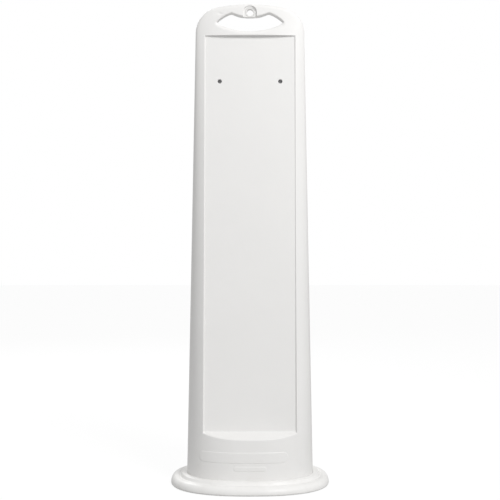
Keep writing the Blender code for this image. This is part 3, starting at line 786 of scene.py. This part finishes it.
# Lamp sleeve. A turned bush of white plastic, set into the web between the two pockets of the handle.
# It takes the clamping force of a lamp's bolt, so that the hollow web isn't crushed.
SLEEVE_WALL, SLEEVE_EDGE = 0.003, 0.0005
SLEEVE_WHITE, SLEEVE_ROUGHNESS = (0.845, 0.838, 0.825), 0.38
bore_radius, face_y, edge_y = SLEEVE_RADIUS - SLEEVE_WALL, HALF_WEB, HALF_WEB - SLEEVE_EDGE
sleeve = [
    (bore_radius, -edge_y), (bore_radius + SLEEVE_EDGE, -face_y), (SLEEVE_RADIUS - SLEEVE_EDGE, -face_y),
    (SLEEVE_RADIUS, -edge_y), (SLEEVE_RADIUS, edge_y), (SLEEVE_RADIUS - SLEEVE_EDGE, face_y),
    (bore_radius + SLEEVE_EDGE, face_y), (bore_radius, edge_y), (bore_radius, 0.0), (bore_radius, -edge_y),
]
bush = mesh_of("bolt_bush", [spun(sleeve, (0.0, 0.0, BOLT_Z), "y", ROUND_SIDES)])
sleeve_finish = moulded_plastic("bush_white", SLEEVE_WHITE, SLEEVE_ROUGHNESS)
fit(bush, "lamp_bolt_sleeve", sleeve_finish, "lamp_bolt_sleeve")

# Face inserts. Zinc plated steel nuts, turned and knurled, seated behind the sign screw holes in the shell.
# Each has a flange, a knurled barrel and a blind thread that opens to the face.
INSERT_STEEL, INSERT_ROUGHNESS = (0.50, 0.50, 0.51), 0.42
FLANGE_RADIUS, FLANGE_BACK, BARREL_RADIUS = insert_high.z - HOLE_Z, 0.0020, 0.0065
BARREL_LENGTH, BARREL_KNURL, BARREL_RIDGES = insert_high.y - insert_low.y, 0.0002, 24.0
BARREL_EDGE, BARREL_TAPER, FLANGE_EDGE, MOUTH_EDGE = 0.0004, 0.0006, 0.0003, 0.0004
BORE_RADIUS, BORE_DEPTH, BORE_PITCH, BORE_THREAD = 0.0042, 0.0065, 0.00125, 0.00030
BORE_RUNOUT, BORE_START = 0.0002, 0.0007
insert_finish = plated_steel("zinc_insert", INSERT_STEEL, INSERT_ROUGHNESS)
thread_y = np.arange(BORE_DEPTH - BORE_RUNOUT, BORE_START, -BORE_PITCH / THREAD_ROWS)
insert = [
    (0.0, BORE_DEPTH),
    (BORE_RADIUS, BORE_DEPTH),
    *[(BORE_RADIUS - BORE_THREAD, y, BORE_THREAD, BORE_PITCH, 1.0) for y in thread_y],
    (BORE_RADIUS, MOUTH_EDGE),
    (BORE_RADIUS + MOUTH_EDGE, 0.0),
    (FLANGE_RADIUS - MOUTH_EDGE, 0.0),
    (FLANGE_RADIUS, MOUTH_EDGE),
    (FLANGE_RADIUS, FLANGE_BACK - FLANGE_EDGE),
    (FLANGE_RADIUS - FLANGE_EDGE, FLANGE_BACK),
    (BARREL_RADIUS - BARREL_KNURL, FLANGE_BACK),
    (BARREL_RADIUS - BARREL_KNURL, FLANGE_BACK + BARREL_KNURL, BARREL_KNURL, 0.0, BARREL_RIDGES),
    (BARREL_RADIUS - BARREL_KNURL, BARREL_LENGTH - BARREL_EDGE, BARREL_KNURL, 0.0, BARREL_RIDGES),
    (BARREL_RADIUS - BARREL_TAPER, BARREL_LENGTH),
    (0.0, BARREL_LENGTH),
]
for face, label in ((-1.0, "front"), (1.0, "rear")):
    for side, hand in ((-1.0, "left"), (1.0, "right")):
        centre = (side * HOLE_X, face * (INSERT_SEAT - CLEARANCE), HOLE_Z)
        piece = mesh_of(f"insert_{label}_{hand}", [spun(insert, centre, "y", ROUND_SIDES, -face)])
        fit(piece, "face_insert", insert_finish, f"face_insert_{label}_{hand}")

# Studio. A wide pale floor and an even white surround, with a large soft light from the upper right in
# front, and a weaker one from behind so that the rear face has its modelling too.
FLOOR_HALF = 14.0
CAMERA_BACK, CAMERA_HEIGHT, CAMERA_LENS, SENSOR_WIDTH = 2.5, 0.554, 75.0, 36.0
FLOOR_BOUNCE, FLOOR_SHADE, FLOOR_GLOW = 0.54, 0.12, 0.885
FLOOR_ROUGHNESS, FLOOR_SPECULAR = 0.9, 0.1
KEY_PLACE, KEY_SIZE, KEY_POWER = (1.50, -2.45, 2.90), 1.4, 77.0
FILL_PLACE, FILL_SIZE, FILL_POWER = (-1.10, 2.70, 2.40), 1.4, 26.0
AIM_HEIGHT = 0.65
SURROUND = 0.565
FLOOR_Z = -0.0004
plane = np.array(((-1.0, -1.0), (1.0, -1.0), (-1.0, 1.0), (1.0, 1.0))).reshape(2, 2, 2) * FLOOR_HALF
floor = mesh_of("floor", [np.concatenate((plane, np.full((2, 2, 1), FLOOR_Z)), axis=2)])
paint = bpy.data.materials.new("floor_white")
paint.use_nodes = True
shader = paint.node_tree.nodes["Principled BSDF"]
shader.inputs["Roughness"].default_value = FLOOR_ROUGHNESS
shader.inputs["Specular IOR Level"].default_value = FLOOR_SPECULAR
lit = Wire(paint.node_tree).add("ShaderNodeLightPath", {}, {}, "Is Camera Ray")
lit.mixed((FLOOR_BOUNCE,) * 3, (FLOOR_SHADE,) * 3).feed(shader.inputs["Base Color"])
shader.inputs["Emission Strength"].default_value = FLOOR_GLOW
lit.mixed((0.0,) * 3, (1.0,) * 3).feed(shader.inputs["Emission Color"])
floor.data.materials.append(paint)

world = bpy.data.worlds.new("surround")
bpy.context.scene.world = world
world.use_nodes = True
back = world.node_tree.nodes["Background"]
back.inputs["Color"].default_value = (1.0, 1.0, 1.0, 1.0)
seen = Wire(world.node_tree).add("ShaderNodeLightPath", {}, {}, "Is Camera Ray")
(seen * (1.0 - SURROUND) + SURROUND).feed(back.inputs["Strength"])


def soft_light(name, place, size, power):
    """A round area light at a place, aimed a little above the post's middle."""
    light = bpy.data.lights.new(name, "AREA")
    light.shape = "DISK"
    light.size = size
    light.energy = power
    lamp = bpy.data.objects.new(name, light)
    bpy.context.scene.collection.objects.link(lamp)
    lamp.location = place
    aim = Vector((0.0, 0.0, AIM_HEIGHT)) - lamp.location
    lamp.rotation_euler = aim.to_track_quat("-Z", "Y").to_euler()


soft_light("key", KEY_PLACE, KEY_SIZE, KEY_POWER)
soft_light("fill", FILL_PLACE, FILL_SIZE, FILL_POWER)

view = bpy.data.cameras.new("camera")
view.lens = CAMERA_LENS
view.sensor_width = SENSOR_WIDTH
camera = bpy.data.objects.new("camera", view)
bpy.context.scene.collection.objects.link(camera)
camera.location = (0.0, -CAMERA_BACK, CAMERA_HEIGHT)
camera.rotation_euler = (math.pi / 2.0, 0.0, 0.0)
bpy.context.scene.camera = camera
bpy.context.scene.view_settings.view_transform = "Standard"
